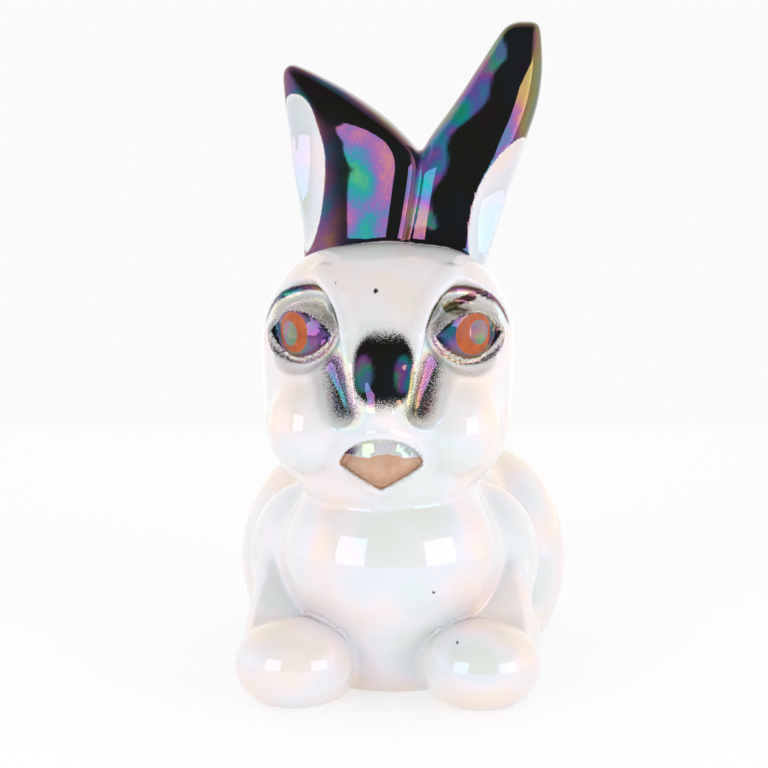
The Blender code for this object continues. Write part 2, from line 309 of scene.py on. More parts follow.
def mouth_gap(half):
    """About how far points of the folded head lie outside the outline of the mouth."""
    height = half[:, 2] - MOUTH_HEIGHT
    arc = (MOUTH_HALF_WIDTH**2 + MOUTH_RISE**2) / (2 * MOUTH_RISE)
    above = np.hypot(half[:, 0], height - MOUTH_RISE + arc) - arc
    slant = math.hypot(MOUTH_DROP, MOUTH_HALF_WIDTH)
    span = MOUTH_HALF_WIDTH * MOUTH_DROP
    below = (half[:, 0] * MOUTH_DROP - height * MOUTH_HALF_WIDTH - span) / slant
    return overlap(above, below, MOUTH_EDGE)


def head_gap(points):
    """About how far each point lies outside the head without its ears."""
    half = folded(points)
    head = trim(joined(half, HEAD), joined(half, SOCKETS), SOCKET_EDGE)
    head = joined(half, FACE, head)
    head = blend(head, eye_gap(half), EYE_JOINT)
    shallow, deep = MOUTH_DEPTHS
    height = (half[:, 2] - MOUTH_HEIGHT) / MOUTH_RISE
    depth = shallow + (deep - shallow) * np.clip(height, 0, 1)
    mouth = np.maximum(mouth_gap(half), half[:, 1] - MOUTH_BACK)
    return trim(head, overlap(mouth, -head - depth, MOUTH_EDGE), MOUTH_EDGE)


def ears_gap(points):
    """About how far each point lies outside the ears."""
    return blend(ear_gap(points, "left"), ear_gap(points, "right"), EAR_JOINT)


def form_gap(points):
    """About how far each point, in parts, lies outside the figure."""
    whole = np.full(len(points), FAR_OFF)
    for shape, joint, (bottom, top) in SHAPES:
        near = (points[:, 2] > bottom) & (points[:, 2] < top)
        whole[near] = blend(whole[near], shape(points[near]), joint)
    return whole


# What the figure is made of, with the joint to what comes before it and the heights it lies
# between, past which it is too far off to matter
FAR_OFF = 99.0
SHAPES = (
    (body_gap, 1, (-30, 62)),
    (head_gap, 1.6, (26, 105)),
    (ears_gap, 2, (68, 150)),
)


def add_egg(rough, unit_ball, centre, radii, turn=(0, 0, 0)):
    """One more egg in the rough figure."""
    place = Matrix.Translation(Vector(centre) * part())
    place @= Euler([math.radians(angle) for angle in turn]).to_matrix().to_4x4()
    place @= Matrix.Diagonal((*(radius * part() for radius in radii), 1))
    egg = unit_ball.copy()
    egg.transform(place)
    rough.from_mesh(egg)
    bpy.data.meshes.remove(egg)


def add_run(rough, unit_ball, ends, sizes, turn=(0, 0, 0)):
    """Eggs in a row between two places, going over from the first size to the last."""
    for number in range(RUN_EGGS):
        share = number / (RUN_EGGS - 1)
        centre, radii = (Vector(pair[0]).lerp(Vector(pair[1]), share) for pair in (ends, sizes))
        add_egg(rough, unit_ball, centre, radii, turn)


def rough_figure():
    """The eggs and limbs of the figure as closed shells that run into each other."""
    ball = bmesh.new()
    bmesh.ops.create_uvsphere(ball, u_segments=BALL_SEGMENTS, v_segments=BALL_RINGS, radius=1)
    unit_ball = bpy.data.meshes.new("unit_ball")
    ball.to_mesh(unit_ball)
    ball.free()
    rough = bmesh.new()
    body = [(form, BODY_SHIFT) for form in TRUNK + SHINS + PAWS]
    for (form, shift), side in product(body + [(form, 0) for form in HEAD + FACE], (1, -1)):
        if isinstance(form, Egg):
            x, y, z = form.centre
            bend, lean, swing = form.turn
            turn = (bend, side * lean, side * swing)
            add_egg(rough, unit_ball, (side * x + shift, y, z), form.radii, turn)
        else:
            ends = [(side * x + shift, y, z) for x, y, z in (form.start, form.end)]
            add_run(rough, unit_ball, ends, [(radius,) * 3 for radius in form.radii])
    for side, sections in EAR_SECTIONS.items():
        turn = (0, 0, math.degrees(math.atan(EAR_SLANT[side])))
        eggs = [
            (((near + far) / 2, depth, height), ((far - near) / 2, half_depth, half_depth))
            for height, near, far, depth, half_depth in sections
        ]
        for (start, first), (end, last) in zip(eggs, eggs[1:]):
            add_run(rough, unit_ball, (start, end), (first, last), turn)
    return rough


def almond_line(points):
    """How far points lie outside an eye's almond, across and above its middle, and in depth."""
    across, inward, up = before_eye(folded(points)).T
    return np.maximum(*almond_arcs(across, up)), across, up, np.abs(inward)


# Folds that are pressed into the skin or stand up from it, as their distance from the almond or
# from the mouth, their half width and their depth, in parts
UPPER_FOLDS = ((1.5, 0.8, 0.5), (3.9, 0.9, 0.55))
LOWER_FOLDS = ((1.8, 0.9, 0.35),)
LID_RIM = (-0.2, 0.9, -0.3)
LIP_FOLDS = ((1.0, 0.9, -0.25), (2.7, 1.0, 0.22))
LID_TURN = 3
EYE_REACH = 7
LIPS_BOTTOM = MOUTH_HEIGHT - 2 * MOUTH_DROP


def fold(distance, at, width, depth):
    """How deep one fold is at this distance."""
    return depth * np.exp(-(((distance - at) / width) ** 2))


def upper_share(up):
    """How far the upper lid's looks hold at this height above an eye's middle, from 0 to 1."""
    return np.clip(0.5 + up / LID_TURN, 0, 1)


def folds(points):
    """How deep the folds of the lids and the lips are pressed in at each point."""
    line, _, up, inward = almond_line(points)
    upper = upper_share(up)
    lids = fold(line, *LID_RIM)
    lids += upper * sum(fold(line, *crease) for crease in UPPER_FOLDS)
    lids += (1 - upper) * sum(fold(line, *crease) for crease in LOWER_FOLDS)
    lids *= np.clip(EYE_REACH - inward, 0, 1) * (points[:, 2] > MOUTH_HEIGHT)
    lips = sum(fold(mouth_gap(folded(points)), *crease) for crease in LIP_FOLDS)
    return lids + lips * (points[:, 1] < MOUTH_BACK) * (points[:, 2] > LIPS_BOTTOM)


def skin_gap(points):
    """About how far each point lies outside the figure with its folds."""
    return form_gap(points) + folds(points)


# Where the black spray lies: streaks beside the nose, the nose's patch by its middle and radii and
# by how it fades out above and below, a haze on the upper lids, a line of painted shade in the fold
# over it and a line of spray on the lower lids, both given as the folds are, and the whole of the
# almond
TEAR_STREAK = Limb((9.6, 0, 68.4), (7.3, 0, 60.6), (0.9, 1.4), 0)
TEAR_EDGE = 4.4
TEAR_SHARE = 0.62
NOSE_PATCH = ((0.5, 68.4), (5.9, 10.2))
NOSE_EDGE = 0.4
NOSE_SQUARENESS = 2
NOSE_FADE = (6.6, 6.5)
LID_HAZE = 5.5
HAZE_SHARE = 0.52
FOLD_SHADE_LINE = (3.9, 0.9, 0.8)
LASH_LINE = (0.6, 0.8, 0.62)
ALMOND_EDGE = 0.5
DEEPEST = 1.5
PAINTED_ALMOND = -0.4
SPRAY_REACH = 9

# A dark bar of painted reflection lies over the eye on the +X side, as its middle line before the
# eye
LID_REFLECTION_BAR = Limb((-3.2, 0, 4.6), (3.4, 0, 6.6), (0.5, 0.9), 0)

# How softly the ears' black ends on the head, the height it starts at and the span it thickens
# over, and where it ends round the cups
EAR_EDGE = 0.9
EAR_ROOT = (78, 5)
CUP_RIM = 0.3
CUP_FADE = 0.9

# The brushed eye rings: middle and radii of the ring and of the hole in it, before the eye
RINGS = {
    "left": ((0.8, 0.1), (4.05, 4.05), (1.45, -0.15), (2.3, 2.45)),
    "right": ((0.4, 0.1), (4.5, 4.15), (1.3, 0.45), (2.6, 2.4)),
}
RING_REACH = 6

# The flesh paint in the mouth: the height of its upper edge with the height, beat and start of its
# wave and its fall to the sides, and the painted shade above it in the mouth's hollow, from its
# least share to full at -X
PAINT_TOP = 51.2
PAINT_WAVE = (0.35, 0.7, 0.9)
PAINT_FALL = 0.05
LIP_SHADE = (0.28, -4.5, 3.0)

# Where painted reflections of the lustre lie, and how strongly: on the eyes, at their inner
# corners, on the nose's lobes, the upper lip, in the cups, and in a band on the taller ear that has
# this width, wave, beat, bottom and top. On the upper lip and in the cups they darken the white as
# painted shade too
SHEEN_EDGE = 0.7
SHEEN_EYE = 0.8
SHEEN_CORNER = 0.5
CORNER_LINE = (2.4, 1.0, 1)
SHEEN_NOSE = 0.75
LIP_PAINTED_SHADE = 0.22
SHEEN_CUP = 0.3
SHEEN_BACK = -12
NOSE_LOBE = ((3.9, 67.6), (1.7, 3.4))
EAR_BAND = (5.2, 1.1, 0.5, 91.5, 130)

# Specks of iron on the front, by their place in X and Z and their radius
SPECK_BACK = -20
SPECKS = (
    (-1.5, 82.4, 0.45), (-5.0, 88.2, 0.2), (-9.5, 83.6, 0.16), (10.2, 23.5, 0.3), (15, 14, 0.25),
)


def black_spray_and_painted_shade(points):
    """How thick the black lies on the ears, round the eyes and on the nose, with painted shade in
    the folds over the eyes and in the mouth above its paint, and a bar of painted reflection over
    the +X eye.
    """
    half = folded(points)
    line, across, up, inward = almond_line(points)
    outside = line - PAINTED_ALMOND
    # Painted shade: a dark line in the fold over each eye, laid over the lid's haze
    haze = np.maximum(HAZE_SHARE * np.clip(1 - outside / LID_HAZE, 0, 1), fold(line, *FOLD_SHADE_LINE))
    upper = upper_share(up)
    haze = upper * haze + (1 - upper) * fold(line, *LASH_LINE)
    thick = np.maximum(haze, np.clip(0.5 - outside / ALMOND_EDGE, -DEEPEST, DEEPEST))
    # Painted reflection: a dark bar over the +X eye
    reflection_bar = limb_gap(np.stack((across, 0 * up, up), axis=1), LID_REFLECTION_BAR) + FAR_OFF * (points[:, 0] < 0)
    thick = np.maximum(thick, np.clip(0.5 - reflection_bar, -DEEPEST, DEEPEST))
    thick *= np.clip(SPRAY_REACH - inward, 0, 1)
    thick *= points[:, 2] > MOUTH_HEIGHT
    before = points[:, 1] < MOUTH_BACK
    streak = limb_gap(half * (1, 0, 1), TEAR_STREAK)
    streak = TEAR_SHARE * np.clip(1 - streak / TEAR_EDGE, 0, 1)
    middle, radii = NOSE_PATCH
    place = (np.abs(points[:, ::2] - middle) / radii) ** NOSE_SQUARENESS
    patch = np.clip(0.5 - (place.sum(axis=1) ** (1 / NOSE_SQUARENESS) - 1) / NOSE_EDGE, 0, 1)
    height, fade = NOSE_FADE
    patch *= np.clip(0.5 + (height - np.abs(points[:, 2] - middle[1])) / fade, 0, 1)
    thick = np.maximum(thick, np.maximum(streak, patch) * before)
    # Painted shade in the mouth's hollow above the flesh paint, darker towards -X
    share, start, width = LIP_SHADE
    shade = share + (1 - share) * np.clip((start - points[:, 0]) / width, 0, 1)
    unpainted = (mouth_gap(half) < 0) & (points[:, 2] > paint_top(points)) & before
    thick = np.maximum(thick, shade * unpainted)
    head = head_gap(points)
    rooted = np.clip((points[:, 2] - EAR_ROOT[0]) / EAR_ROOT[1], 0, 1)
    for side in EAR_SECTIONS:
        ear = ear_gap(points, side)
        on_ear = rooted * np.clip(0.5 + (head - ear) / EAR_EDGE, 0, 1) * (ear < EAR_JOINT)
        cup = egg_gap(points, EAR_CUPS[side])
        outer = np.clip((cup - CUP_RIM) / CUP_FADE, -DEEPEST, DEEPEST)
        thick = np.maximum(thick, np.where(outer < 0, outer, on_ear * outer))
    return thick


def ring_gap(points):
    """How far each point lies outside the brushed ring on the eye of its own side."""
    _, across, up, inward = almond_line(points)
    gap = np.full(len(points), FAR_OFF)
    place = np.stack((across, up), axis=1)
    for side, sign in (("left", -1), ("right", 1)):
        middle, radii, hole_middle, hole_radii = RINGS[side]
        outer = swollen_gap(place - middle, np.array(radii))
        hole = swollen_gap(place - hole_middle, np.array(hole_radii))
        ring = np.maximum(outer, -hole) + (inward > RING_REACH) * FAR_OFF
        gap = np.where(points[:, 0] * sign > 0, ring, gap)
    return gap


def paint_top(points):
    """The height that the flesh colour reaches up to in the mouth."""
    rise, beat, start = PAINT_WAVE
    wave = rise * np.sin(points[:, 0] * beat + start)
    return PAINT_TOP + wave - PAINT_FALL * np.abs(points[:, 0])


def lip_gap(points):
    """How far each point lies outside the flesh colour that is brushed into the mouth."""
    gap = np.maximum(mouth_gap(folded(points)), points[:, 2] - paint_top(points))
    return np.maximum(gap, points[:, 1] - MOUTH_BACK)


def painted_sheen_and_shade(points):
    """How strongly painted reflections of the lustre lie on the face and the ears, with painted
    shade on the upper lip and in the cups.
    """
    line, across, _, inward = almond_line(points)
    eye = SHEEN_EYE * np.clip(-(line + SHEEN_EDGE) / SHEEN_EDGE, 0, 1)
    corner = fold(line, *CORNER_LINE) * np.clip(-across / LID_TURN - 1, 0, 1)
    eye = np.maximum(eye, SHEEN_CORNER * corner) * (inward < EYE_REACH)
    middle = NOSE_PATCH[0][0]
    place = np.stack((np.abs(points[:, 0] - middle), points[:, 2]), axis=1)
    lobe = swollen_gap(place - NOSE_LOBE[0], np.array(NOSE_LOBE[1]))
    lobe = SHEEN_NOSE * np.clip(0.5 - lobe / SHEEN_EDGE, 0, 1)
    # Painted shade on the upper lip above the flesh paint
    lip = LIP_PAINTED_SHADE * (mouth_gap(folded(points)) < 0) * (points[:, 2] > paint_top(points))
    face = np.maximum(np.maximum(eye, lobe), lip) * (points[:, 1] < SHEEN_BACK)
    face = np.maximum(face, SHEEN_CUP * np.clip(-cup_gap(points) / CUP_EDGE, 0, 1))
    shape = rounded_line(EAR_SECTIONS["right"])
    near, depth = (np.interp(points[:, 2], shape[:, 0], shape[:, row]) for row in (1, 3))
    width, wave, beat, bottom, top = EAR_BAND
    inside = points[:, 0] - near
    edge = (width + wave * np.sin(points[:, 2] * beat)) * np.clip((top - points[:, 2]) / width, 0, 1)
    band = np.clip((edge - inside) / SHEEN_EDGE, 0, 1) * np.clip(inside / SHEEN_EDGE, 0, 1)
    return np.maximum(face, band * (points[:, 1] < depth) * (points[:, 2] > bottom))


def cup_gap(points):
    """How far each point lies outside the two cups of the ears."""
    return np.minimum(*(egg_gap(points, cup) for cup in EAR_CUPS.values()))


def speck_gap(points):
    """How far each point of the front lies outside the specks of iron in the glaze."""
    specks = [np.hypot(points[:, 0] - x, points[:, 2] - z) - size for x, z, size in SPECKS]
    return np.min(specks, axis=0) + FAR_OFF * (points[:, 1] > SPECK_BACK)


# What is written on the mesh for its glaze
MARKS = {
    "spray_and_painted_shade": black_spray_and_painted_shade, "ring": ring_gap, "lip": lip_gap, "speck": speck_gap, "painted_sheen_and_shade": painted_sheen_and_shade,
}


def slopes(points, gap):
    """How the form's gap changes along each axis at the points."""
    slope = np.empty_like(points)
    for axis in range(3):
        probe = np.zeros(3)
        probe[axis] = PROBE
        slope[:, axis] = (skin_gap(points + probe) - gap) / PROBE
    return slope


def places(mesh):
    """The mesh's corners in parts of the figure."""
    points = np.empty(len(mesh.vertices) * 3)
    mesh.vertices.foreach_get("co", points)
    return points.reshape(-1, 3) / part()


def part():
    """The length of a part, in metres."""
    return bpy.context.scene.rabbit_sizes.height / PARTS_HIGH


def press(mesh, rounds):
    """Move the skin onto the form, evening it out on the way."""
    points = places(mesh)
    count = len(points)
    edges = np.empty(len(mesh.edges) * 2, int)
    mesh.edges.foreach_get("vertices", edges)
    ends = np.concatenate((edges[0::2], edges[1::2]))
    others = np.concatenate((edges[1::2], edges[0::2]))
    ways = np.bincount(ends, minlength=count)[:, None]
    for turn in range(rounds + SETTLE_ROUNDS):
        gap = skin_gap(points)
        slope = slopes(points, gap)
        steep = np.linalg.norm(slope, axis=1)[:, None] + HAIR
        out = slope / steep
        move = np.clip(gap[:, None] / np.maximum(steep, LEAST_SLOPE), -LONGEST_PRESS, LONGEST_PRESS)
        points -= move * out
        if turn < rounds:
            sums = [np.bincount(ends, points[others, axis], count) for axis in range(3)]
            ease = np.stack(sums, axis=1) / ways - points
            points += EASE_SHARE * (ease - (ease * out).sum(axis=1)[:, None] * out)
    mesh.vertices.foreach_set("co", (points * part()).ravel())
    mesh.update()


def settled_mesh(thing):
    """The object's mesh with its modifiers made final."""
    seen = thing.evaluated_get(bpy.context.evaluated_depsgraph_get())
    mesh = bpy.data.meshes.new_from_object(seen)
    thing.modifiers.clear()
    return mesh


def flatten_foot(mesh):
    """Cut the figure off at z = 0 and close it with a flat underside in the second material."""
    bm = bmesh.new()
    bm.from_mesh(mesh)
    everything = bm.verts[:] + bm.edges[:] + bm.faces[:]
    bmesh.ops.bisect_plane(
        bm, geom=everything, dist=FOOT_SLICE * part(), plane_co=(0, 0, 0), plane_no=(0, 0, -1),
        clear_outer=True
    )
    rim = [edge for edge in bm.edges if edge.is_boundary]
    for vertex in {vertex for edge in rim for vertex in edge.verts}:
        vertex.co.z = 0
    for vertex in bm.verts:
        vertex.co.z = max(vertex.co.z, 0)
    floor = bmesh.ops.holes_fill(bm, edges=rim, sides=0)["faces"]
    floor = bmesh.ops.triangulate(bm, faces=floor)["faces"]
    for face in floor:
        face.material_index = 1
    bmesh.ops.recalc_face_normals(bm, faces=bm.faces)
    bm.to_mesh(mesh)
    bm.free()


def mark(mesh):
    """Give the mesh the lie of its colours, and normals that are the form's own."""
    points = places(mesh)
    for name, measure in MARKS.items():
        values = mesh.attributes.new(name, "FLOAT", "POINT").data
        values.foreach_set("value", measure(points).astype(np.float32))
    slope = slopes(points, skin_gap(points))
    out = slope / np.linalg.norm(slope, axis=1)[:, None]
    corners = np.empty(len(mesh.loops), int)
    mesh.loops.foreach_get("vertex_index", corners)
    normals = out[corners]
    for face in mesh.polygons:
        if face.material_index == 1:
            normals[face.loop_start:face.loop_start + face.loop_total] = (0, 0, -1)
    mesh.normals_split_custom_set(normals)


def centre(mesh):
    """Bring the middle of the figure's box over the middle of the solid's."""
    points = places(mesh) * part()
    low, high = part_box("rabbit")
    middle = (points.min(axis=0) + points.max(axis=0)) / 2
    aim = (low + high) / 2
    mesh.transform(Matrix.Translation((aim.x - middle[0], aim.y - middle[1], 0)))


def add_node(tree, kind, values=(), links=(), **settings):
    """A new node with these settings, socket values and incoming links."""
    made = tree.nodes.new("ShaderNode" + kind)
    for name, value in settings.items():
        setattr(made, name, value)
    for name, value in dict(values).items():
        made.inputs[name].default_value = value
    for name, source in dict(links).items():
        tree.links.new(source, made.inputs[name])
    return made


def math_node(tree, operation, first, second=None):
    """The result of a sum on one or two sockets or numbers."""
    made = tree.nodes.new("ShaderNodeMath")
    made.operation = operation
    for place, value in enumerate((first, second)):
        if isinstance(value, bpy.types.NodeSocket):
            tree.links.new(value, made.inputs[place])
        elif value is not None:
            made.inputs[place].default_value = value
    return made.outputs[0]


def mixed(tree, share, first, second):
    """Two colours mixed by a share."""
    made = tree.nodes.new("ShaderNodeMix")
    made.data_type = "RGBA"
    sockets = [socket for socket in made.inputs if socket.type == "RGBA"]
    tree.links.new(share, made.inputs[0])
    for socket, value in zip(sockets, (first, second)):
        if isinstance(value, bpy.types.NodeSocket):
            tree.links.new(value, socket)
        else:
            socket.default_value = (*value, 1)[:4]
    return next(socket for socket in made.outputs if socket.type == "RGBA")


def ranged(tree, value, low, high, first=0.0, last=1.0):
    """A value spread from one range over another, eased at both ends."""
    made = add_node(
        tree, "MapRange", {"From Min": low, "From Max": high, "To Min": first, "To Max": last},
        {"Value": value}, interpolation_type="SMOOTHSTEP"
    )
    return made.outputs["Result"]


def noise(tree, scale, detail=2.0):
    """A noise of this many grains a metre over the object."""
    spot = tree.nodes.new("ShaderNodeTexCoord").outputs["Object"]
    made = add_node(tree, "TexNoise", {"Scale": scale, "Detail": detail}, {"Vector": spot})
    return made.outputs[0]


def attribute(tree, name):
    """One of the marks on the mesh."""
    return add_node(tree, "Attribute", attribute_name=name).outputs["Fac"]


def new_group(name, inputs, outputs):
    """An empty node group with named inputs and outputs."""
    tree = bpy.data.node_groups.new(name, "ShaderNodeTree")
    for title, kind, value in inputs:
        tree.interface.new_socket(title, in_out="INPUT", socket_type=kind).default_value = value
    for title, kind in outputs:
        tree.interface.new_socket(title, in_out="OUTPUT", socket_type=kind)
    return tree, tree.nodes.new("NodeGroupInput").outputs, tree.nodes.new("NodeGroupOutput").inputs


# The spray's droplets a metre, how strongly they break it up, and how thick it is where their edges
# begin and where they are full
DROPLETS = 5600
BREAK_UP = 0.85
DROPLET_EDGE = (0.36, 0.64)


def airbrush_group():
    """Spray that breaks up into droplets where it thins out."""
    floats = "NodeSocketFloat"
    inputs = (("Spray", floats, 0), ("Droplets", floats, DROPLETS), ("Break-up", floats, BREAK_UP))
    tree, given, result = new_group("airbrush", inputs, (("Mask", floats),))
    spot = tree.nodes.new("ShaderNodeTexCoord").outputs["Object"]
    links = {"Vector": spot, "Scale": given["Droplets"]}
    grain = add_node(tree, "TexNoise", {"Detail": 1.0}, links).outputs[0]
    grain = math_node(tree, "SUBTRACT", grain, 0.5)
    grain = math_node(tree, "MULTIPLY", grain, given["Break-up"])
    total = math_node(tree, "ADD", given["Spray"], grain)
    tree.links.new(ranged(tree, total, *DROPLET_EDGE), result["Mask"])
    return tree


# The lustre film. Its thickness goes over the body in grains, each given by how many there are a
# metre, their detail and their share, and so do the colours of its painted sheen and the mouth's
# edge
FILM_IOR = 1.82
GLAZE_IOR = 1.5
FILM_GRAINS = ((66, 1, 1.6), (260, 2, 0.35), (2600, 1, 0.26))
SHEEN_GRAINS = ((120, 1, 2.6), (1900, 1, 0.25))
LIP_GRAIN = (900, 1, 0.5)

# Where the colours of the glaze begin and are full: the film over black by the spray's thickness,
# the specks and the brushed paints by how far outside them a point lies, and their brush marks.
# Then how rough glaze and paint are, and how the glaze waves
FILM_BLACK = (0, 0.6)
SPECK_SOFT = (0.2, -0.1)
PAINT_SOFT = (0.12, -0.12)
BRUSH_GRAIN = (420, 2)
BRUSH_SOFT = (0.35, 0.65)
GLAZE_ROUGH = (0.03, 0.42)
GLAZE_BUMP = {"Strength": 0.05, "Distance": 0.0004}
GLAZE_WAVES = (110, 0)

# The bare foot: its two colours and their grain, its roughness and its tooth
FOOT_COLOURS = ((0.78, 0.75, 0.70), (0.86, 0.84, 0.80))
FOOT_GRAIN = (900, 3)
FOOT_ROUGH = (0.6, 0.8)
FOOT_ROUGH_GRAIN = (1500, 2)
FOOT_BUMP = {"Strength": 0.2, "Distance": 0.0002}
FOOT_TOOTH = (3000, 2)

# Colours from the thinnest to the thickest film, painted into the glaze's colour as its reflection:
# taken out of white, given to black, and the painted sheen
PASTELS = (
    (0.82, 0.81, 0.74), (0.85, 0.79, 0.74), (0.83, 0.79, 0.80), (0.78, 0.81, 0.81),
    (0.79, 0.82, 0.75), (0.84, 0.81, 0.74),
)
RAINBOW = (
    (0.008, 0.006, 0.016), (0.004, 0.013, 0.016), (0.010, 0.011, 0.004), (0.015, 0.006, 0.011),
    (0.004, 0.009, 0.016),
)
PAINTED_SHEENS = (
    (0.01, 0.24, 0.15), (0.01, 0.20, 0.26), (0.08, 0.08, 0.32), (0.24, 0.06, 0.26),
    (0.02, 0.26, 0.15), (0.07, 0.15, 0.30),
)


def pearl_group():
    """The colours that a lustre film takes out of white, gives to black, and its sheen, by its
    thickness: its reflection, painted into the base colour.
    """
    colours = "NodeSocketColor"
    ramps = {"Pastel": PASTELS, "Rainbow": RAINBOW, "Sheen": PAINTED_SHEENS}
    tree, given, result = new_group(
        "pearl", (("Film", "NodeSocketFloat", 0),), [(title, colours) for title in ramps]
    )
    for title, stops in ramps.items():
        ramp = add_node(tree, "ValToRGB", {}, {"Fac": given["Film"]})
        band = ramp.color_ramp
        for number, colour in enumerate(stops):
            place = number / (len(stops) - 1)
            stop = band.elements[number] if number < 2 else band.elements.new(place)
            stop.position = place
            stop.color = (*colour, 1)
        tree.links.new(ramp.outputs["Color"], result[title])
    return tree


def uneven(tree, value, grains):
    """A value with a share of each of these noises added to it, centred on none."""
    for scale, detail, share in grains:
        grain = math_node(tree, "SUBTRACT", noise(tree, scale, detail), 0.5)
        value = math_node(tree, "ADD", value, math_node(tree, "MULTIPLY", grain, share))
    return value


def placed_group(tree, group):
    """A node group placed in a material."""
    made = tree.nodes.new("ShaderNodeGroup")
    made.node_tree = group
    return made


def film_nodes(tree, black):
    """How thick the lustre film is, from 0 to 1, and in nanometres over white and black."""
    colours = bpy.context.scene.rabbit_colours
    share = uneven(tree, 0.5, FILM_GRAINS)
    white = ranged(tree, share, 0, 1, *colours.white_film)
    dark = ranged(tree, share, 0, 1, *colours.black_film)
    rise = math_node(tree, "MULTIPLY", math_node(tree, "SUBTRACT", dark, white), black)
    return share, math_node(tree, "ADD", white, rise)


def glaze_material():
    """White porcelain under a pearl lustre with the film's reflection painted into its colour, the
    black spray with painted shade and reflection, the eye rings and the mouth.
    """
    colours = bpy.context.scene.rabbit_colours
    material = bpy.data.materials.new("pearl_glaze")
    material.use_nodes = True
    tree = material.node_tree
    shader = tree.nodes["Principled BSDF"]
    # The spray's mark, which also holds painted shade in the folds and the mouth and a painted
    # reflection over one eye
    lie = attribute(tree, "spray_and_painted_shade")
    share, thickness = film_nodes(tree, ranged(tree, lie, *FILM_BLACK))
    pearl = placed_group(tree, pearl_group())
    tree.links.new(share, pearl.inputs["Film"])
    spray_and_painted_shade = placed_group(tree, airbrush_group())
    tree.links.new(lie, spray_and_painted_shade.inputs["Spray"])
    speck = ranged(tree, attribute(tree, "speck"), *SPECK_SOFT)
    black = math_node(tree, "MAXIMUM", spray_and_painted_shade.outputs["Mask"], speck)
    ring = ranged(tree, attribute(tree, "ring"), *PAINT_SOFT)
    lip = ranged(tree, uneven(tree, attribute(tree, "lip"), [LIP_GRAIN]), *PAINT_SOFT)
    # Painted reflection: the film's pastel over white and its rainbow over black go into the base
    # colour
    base = mixed(tree, black, pearl.outputs["Pastel"], pearl.outputs["Rainbow"])
    sheen_ramps = placed_group(tree, pearl.node_tree)
    tree.links.new(uneven(tree, 0.5, SHEEN_GRAINS), sheen_ramps.inputs["Film"])
    # Painted reflections of the lustre, and painted shade on the upper lip and in the cups
    base = mixed(tree, attribute(tree, "painted_sheen_and_shade"), base, sheen_ramps.outputs["Sheen"])
    brushed = ranged(tree, noise(tree, *BRUSH_GRAIN), *BRUSH_SOFT)
    base = mixed(tree, ring, base, mixed(tree, brushed, colours.orange, colours.deep_orange))
    base = mixed(tree, lip, base, mixed(tree, brushed, colours.flesh, colours.pale_flesh))
    tree.links.new(base, shader.inputs["Base Color"])
    painted = math_node(tree, "MAXIMUM", ring, lip)
    rough = ranged(tree, painted, 0, 1, *GLAZE_ROUGH)
    tree.links.new(rough, shader.inputs["Roughness"])
    unpainted = math_node(tree, "SUBTRACT", 1.0, painted)
    film = math_node(tree, "MULTIPLY", thickness, unpainted)
    tree.links.new(film, shader.inputs["Thin Film Thickness"])
    shader.inputs["Thin Film IOR"].default_value = FILM_IOR
    shader.inputs["IOR"].default_value = GLAZE_IOR
    bump = add_node(tree, "Bump", GLAZE_BUMP, {"Height": noise(tree, *GLAZE_WAVES)})
    tree.links.new(bump.outputs[0], shader.inputs["Normal"])
    return material


def bare_material():
    """Unglazed porcelain, wiped clean to stand in the kiln."""
    material = bpy.data.materials.new("bare_foot")
    material.use_nodes = True
    tree = material.node_tree
    shader = tree.nodes["Principled BSDF"]
    base = mixed(tree, noise(tree, *FOOT_GRAIN), *FOOT_COLOURS)
    tree.links.new(base, shader.inputs["Base Color"])
    rough = ranged(tree, noise(tree, *FOOT_ROUGH_GRAIN), 0, 1, *FOOT_ROUGH)
    tree.links.new(rough, shader.inputs["Roughness"])
    bump = add_node(tree, "Bump", FOOT_BUMP, {"Height": noise(tree, *FOOT_TOOTH)})
    tree.links.new(bump.outputs[0], shader.inputs["Normal"])
    return material


class RabbitSizes(bpy.types.PropertyGroup):
    """Sizes of the figurine."""

    height: FloatProperty(
        name="Height", description="Height to the tip of the taller ear", default=0.132,
        min=0.05, max=0.5, unit="LENGTH"
    )


class RabbitColours(bpy.types.PropertyGroup):
    """Colours of the glaze and the paint."""

    orange: FloatVectorProperty(
        name="Eye ring", description="Paint brushed round each pupil", default=(0.52, 0.100, 0.006),
        min=0, max=1, subtype="COLOR"
    )
    deep_orange: FloatVectorProperty(
        name="Eye ring, thicker", description="Where the ring's paint lies thicker",
        default=(0.38, 0.062, 0.004), min=0, max=1, subtype="COLOR"
    )
    flesh: FloatVectorProperty(
        name="Mouth", description="Paint brushed into the mouth", default=(0.55, 0.31, 0.20),
        min=0, max=1, subtype="COLOR"
    )
    pale_flesh: FloatVectorProperty(
        name="Mouth, thinner", description="Where the mouth's paint lies thinner",
        default=(0.58, 0.37, 0.26), min=0, max=1, subtype="COLOR"
    )
    white_film: FloatVectorProperty(
        name="Lustre on white", description="Thinnest and thickest film over white, in nanometres",
        default=(130, 180), size=2, min=0, max=1000
    )
    black_film: FloatVectorProperty(
        name="Lustre on black", description="Thinnest and thickest film over black, in nanometres",
        default=(250, 380), size=2, min=0, max=1000
    )


class StageLook(bpy.types.PropertyGroup):
    """The studio round the figurine."""

    floor: FloatVectorProperty(
        name="Floor", description="Colour of the floor", default=(0.52, 0.52, 0.52),
        min=0, max=1, subtype="COLOR"
    )
    backdrop: FloatProperty(
        name="Backdrop", description="Brightness behind the figurine", default=0.955, min=0, max=2
    )
    room: FloatProperty(
        name="Room", description="Brightness of the pale room", default=1.16, min=0, max=5
    )
    softbox: FloatProperty(
        name="Softbox", description="Brightness of the softboxes", default=3.4, min=0, max=20
    )


